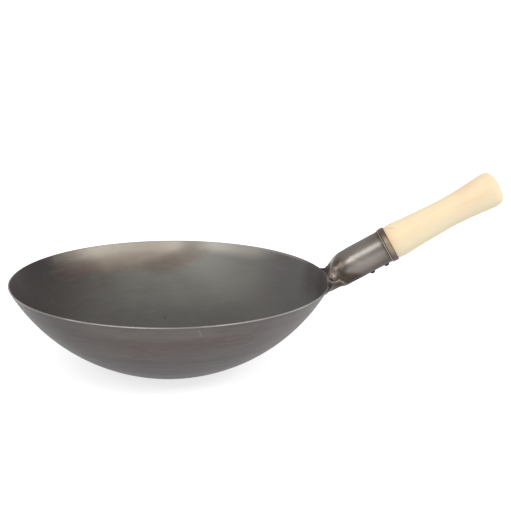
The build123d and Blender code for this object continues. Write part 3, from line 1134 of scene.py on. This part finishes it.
def make_wall_weld(material):
    """Bead along the nose's lower outline on the wall, from fold to fold."""
    path, ups = [], []
    first, last = WALL_BEAD_TURNS
    for step in range(WALL_BEAD_STEPS + 1):
        turn = radians(first + (last - first) * step / WALL_BEAD_STEPS)
        point = nose_point(front_place(turn), turn)
        normal = (point - Vector((0, 0, WALL_CENTRE))).normalized()
        path.append(point + normal * WALL_BEAD_RISE)
        ups.append((normal + WALL_BEAD_LEAN).normalized())
    return make_bead("weld_on_wall", path, ups, WALL_BEAD_SIZE, material)


def make_rim_weld(material):
    """Bead in the corner between the rim's edge and the upright front."""
    path, ups = [], []
    for step in range(RIM_BEAD_STEPS + 1):
        turn = radians(RIM_BEAD_TURN * (2 * step / RIM_BEAD_STEPS - 1))
        out = Vector((cos(turn), sin(turn), 0))
        path.append(out * (RIM_RADIUS - RIM_BEAD_SHIFT) + Vector((0, 0, RIM_HEIGHT + RIM_BEAD_SHIFT)))
        ups.append((Vector((0, 0, 1)) - out).normalized())
    return make_bead("weld_on_rim", path, ups, RIM_BEAD_SIZE, material)


# The pieces in their nodes' places


def stands_for(piece, node):
    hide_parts(node)


weld_finish = weld_steel()
stands_for(make_bowl([bowl_inside(), bowl_outside(), bare_edge()]), "wok_bowl")
stands_for(make_socket(socket_steel()), "handle_socket")
stands_for(make_ring(ring_steel()), "socket_ring")
stands_for(make_grip(wood()), "wood_grip")
stands_for(make_wall_weld(weld_finish), "wall_weld")
stands_for(make_rim_weld(weld_finish), "rim_weld")

nail_finish = nail_steel()
for name in ("grip_nail_inner", "grip_nail_outer"):
    for place in nodes[name].material_slots:
        place.material = nail_finish


# Floor, light and camera

WHITE = (1, 1, 1)
FLOOR_HALF = 40
FLOOR_SHADE = 0.72
FLOOR_GLOW = 0.72
SKY_LIGHT = 0.62
LAMP_POWER = 9.6

# The photo's camera, fitted to the rim: its tilt down and its roll, how far ahead, to the right and up
# of it the rim's middle is, and its focal length and picture in pixels
ELEVATION = radians(14.4717)
ROLL = radians(-0.67918)
DISTANCE = 1.2
ASIDE = -0.0949739
ABOVE = -0.0256903
FOCAL_PIXELS = 1072.929
IMAGE_PIXELS = 511
SENSOR = 36


def make_floor():
    """White paper that glows as it is seen and takes a soft shadow."""
    corners = [(x * FLOOR_HALF, y * FLOOR_HALF, 0) for x, y in ((-1, -1), (1, -1), (1, 1), (-1, 1))]
    mesh = bpy.data.meshes.new("floor")
    mesh.from_pydata(corners, [], [(0, 1, 2, 3)])
    floor = new_object("floor", mesh)
    f = Finish("floor_paper")
    glow = f.node("Emission", {"Color": WHITE, "Strength": f.times(f.seen(), FLOOR_GLOW)})
    paper = f.node("BsdfDiffuse", {"Color": (FLOOR_SHADE,) * 3})
    f.show(f.node("AddShader", {0: glow, 1: paper}))
    mesh.materials.append(f.material)


def make_world():
    """White surroundings, dimmer as a light than as they are seen."""
    world = bpy.data.worlds.new("studio")
    world.use_nodes = True
    bpy.context.scene.world = world
    f = Nodes(world.node_tree, "World")
    strength = f.node("MapRange", {"Value": f.seen(), "To Min": SKY_LIGHT}, "Result")
    f.show(f.node("Background", {"Color": WHITE, "Strength": strength}))


def make_lamp(name, place, target, width, height, roll=0.0):
    data = bpy.data.lights.new(name, "AREA")
    data.shape = "RECTANGLE"
    data.size, data.size_y = width, height
    data.energy = LAMP_POWER
    lamp = new_object(name, data)
    lamp.location = place
    aim = (Vector(target) - Vector(place)).to_track_quat("-Z", "Y").to_matrix()
    lamp.rotation_euler = (aim @ Matrix.Rotation(roll, 3, "Z")).to_euler()


def make_camera():
    right = Vector((1, 0, 0))
    up = Vector((0, sin(ELEVATION), cos(ELEVATION)))
    ahead = Vector((0, cos(ELEVATION), -sin(ELEVATION)))
    side = cos(ROLL) * right - sin(ROLL) * up
    top = sin(ROLL) * right + cos(ROLL) * up
    place = Vector((0, 0, RIM_HEIGHT)) - ASIDE * side - ABOVE * top - DISTANCE * ahead
    data = bpy.data.cameras.new("camera")
    data.sensor_width = SENSOR
    data.lens = FOCAL_PIXELS * SENSOR / IMAGE_PIXELS
    camera = new_object("camera", data)
    camera.matrix_world = Matrix.Translation(place) @ Matrix((side, top, -ahead)).transposed().to_4x4()
    bpy.context.scene.camera = camera


make_floor()
make_world()
make_lamp("softbox_right", (1.33, -0.56, 1.08), (0, 0.05, 0.08), 2.2, 0.45, radians(-16))
make_lamp("softbox_left", (-0.42, -1.21, 1.32), (0.15, 0, 0.1), 0.8, 1.0)
make_camera()
bpy.context.scene.view_settings.view_transform = "Standard"
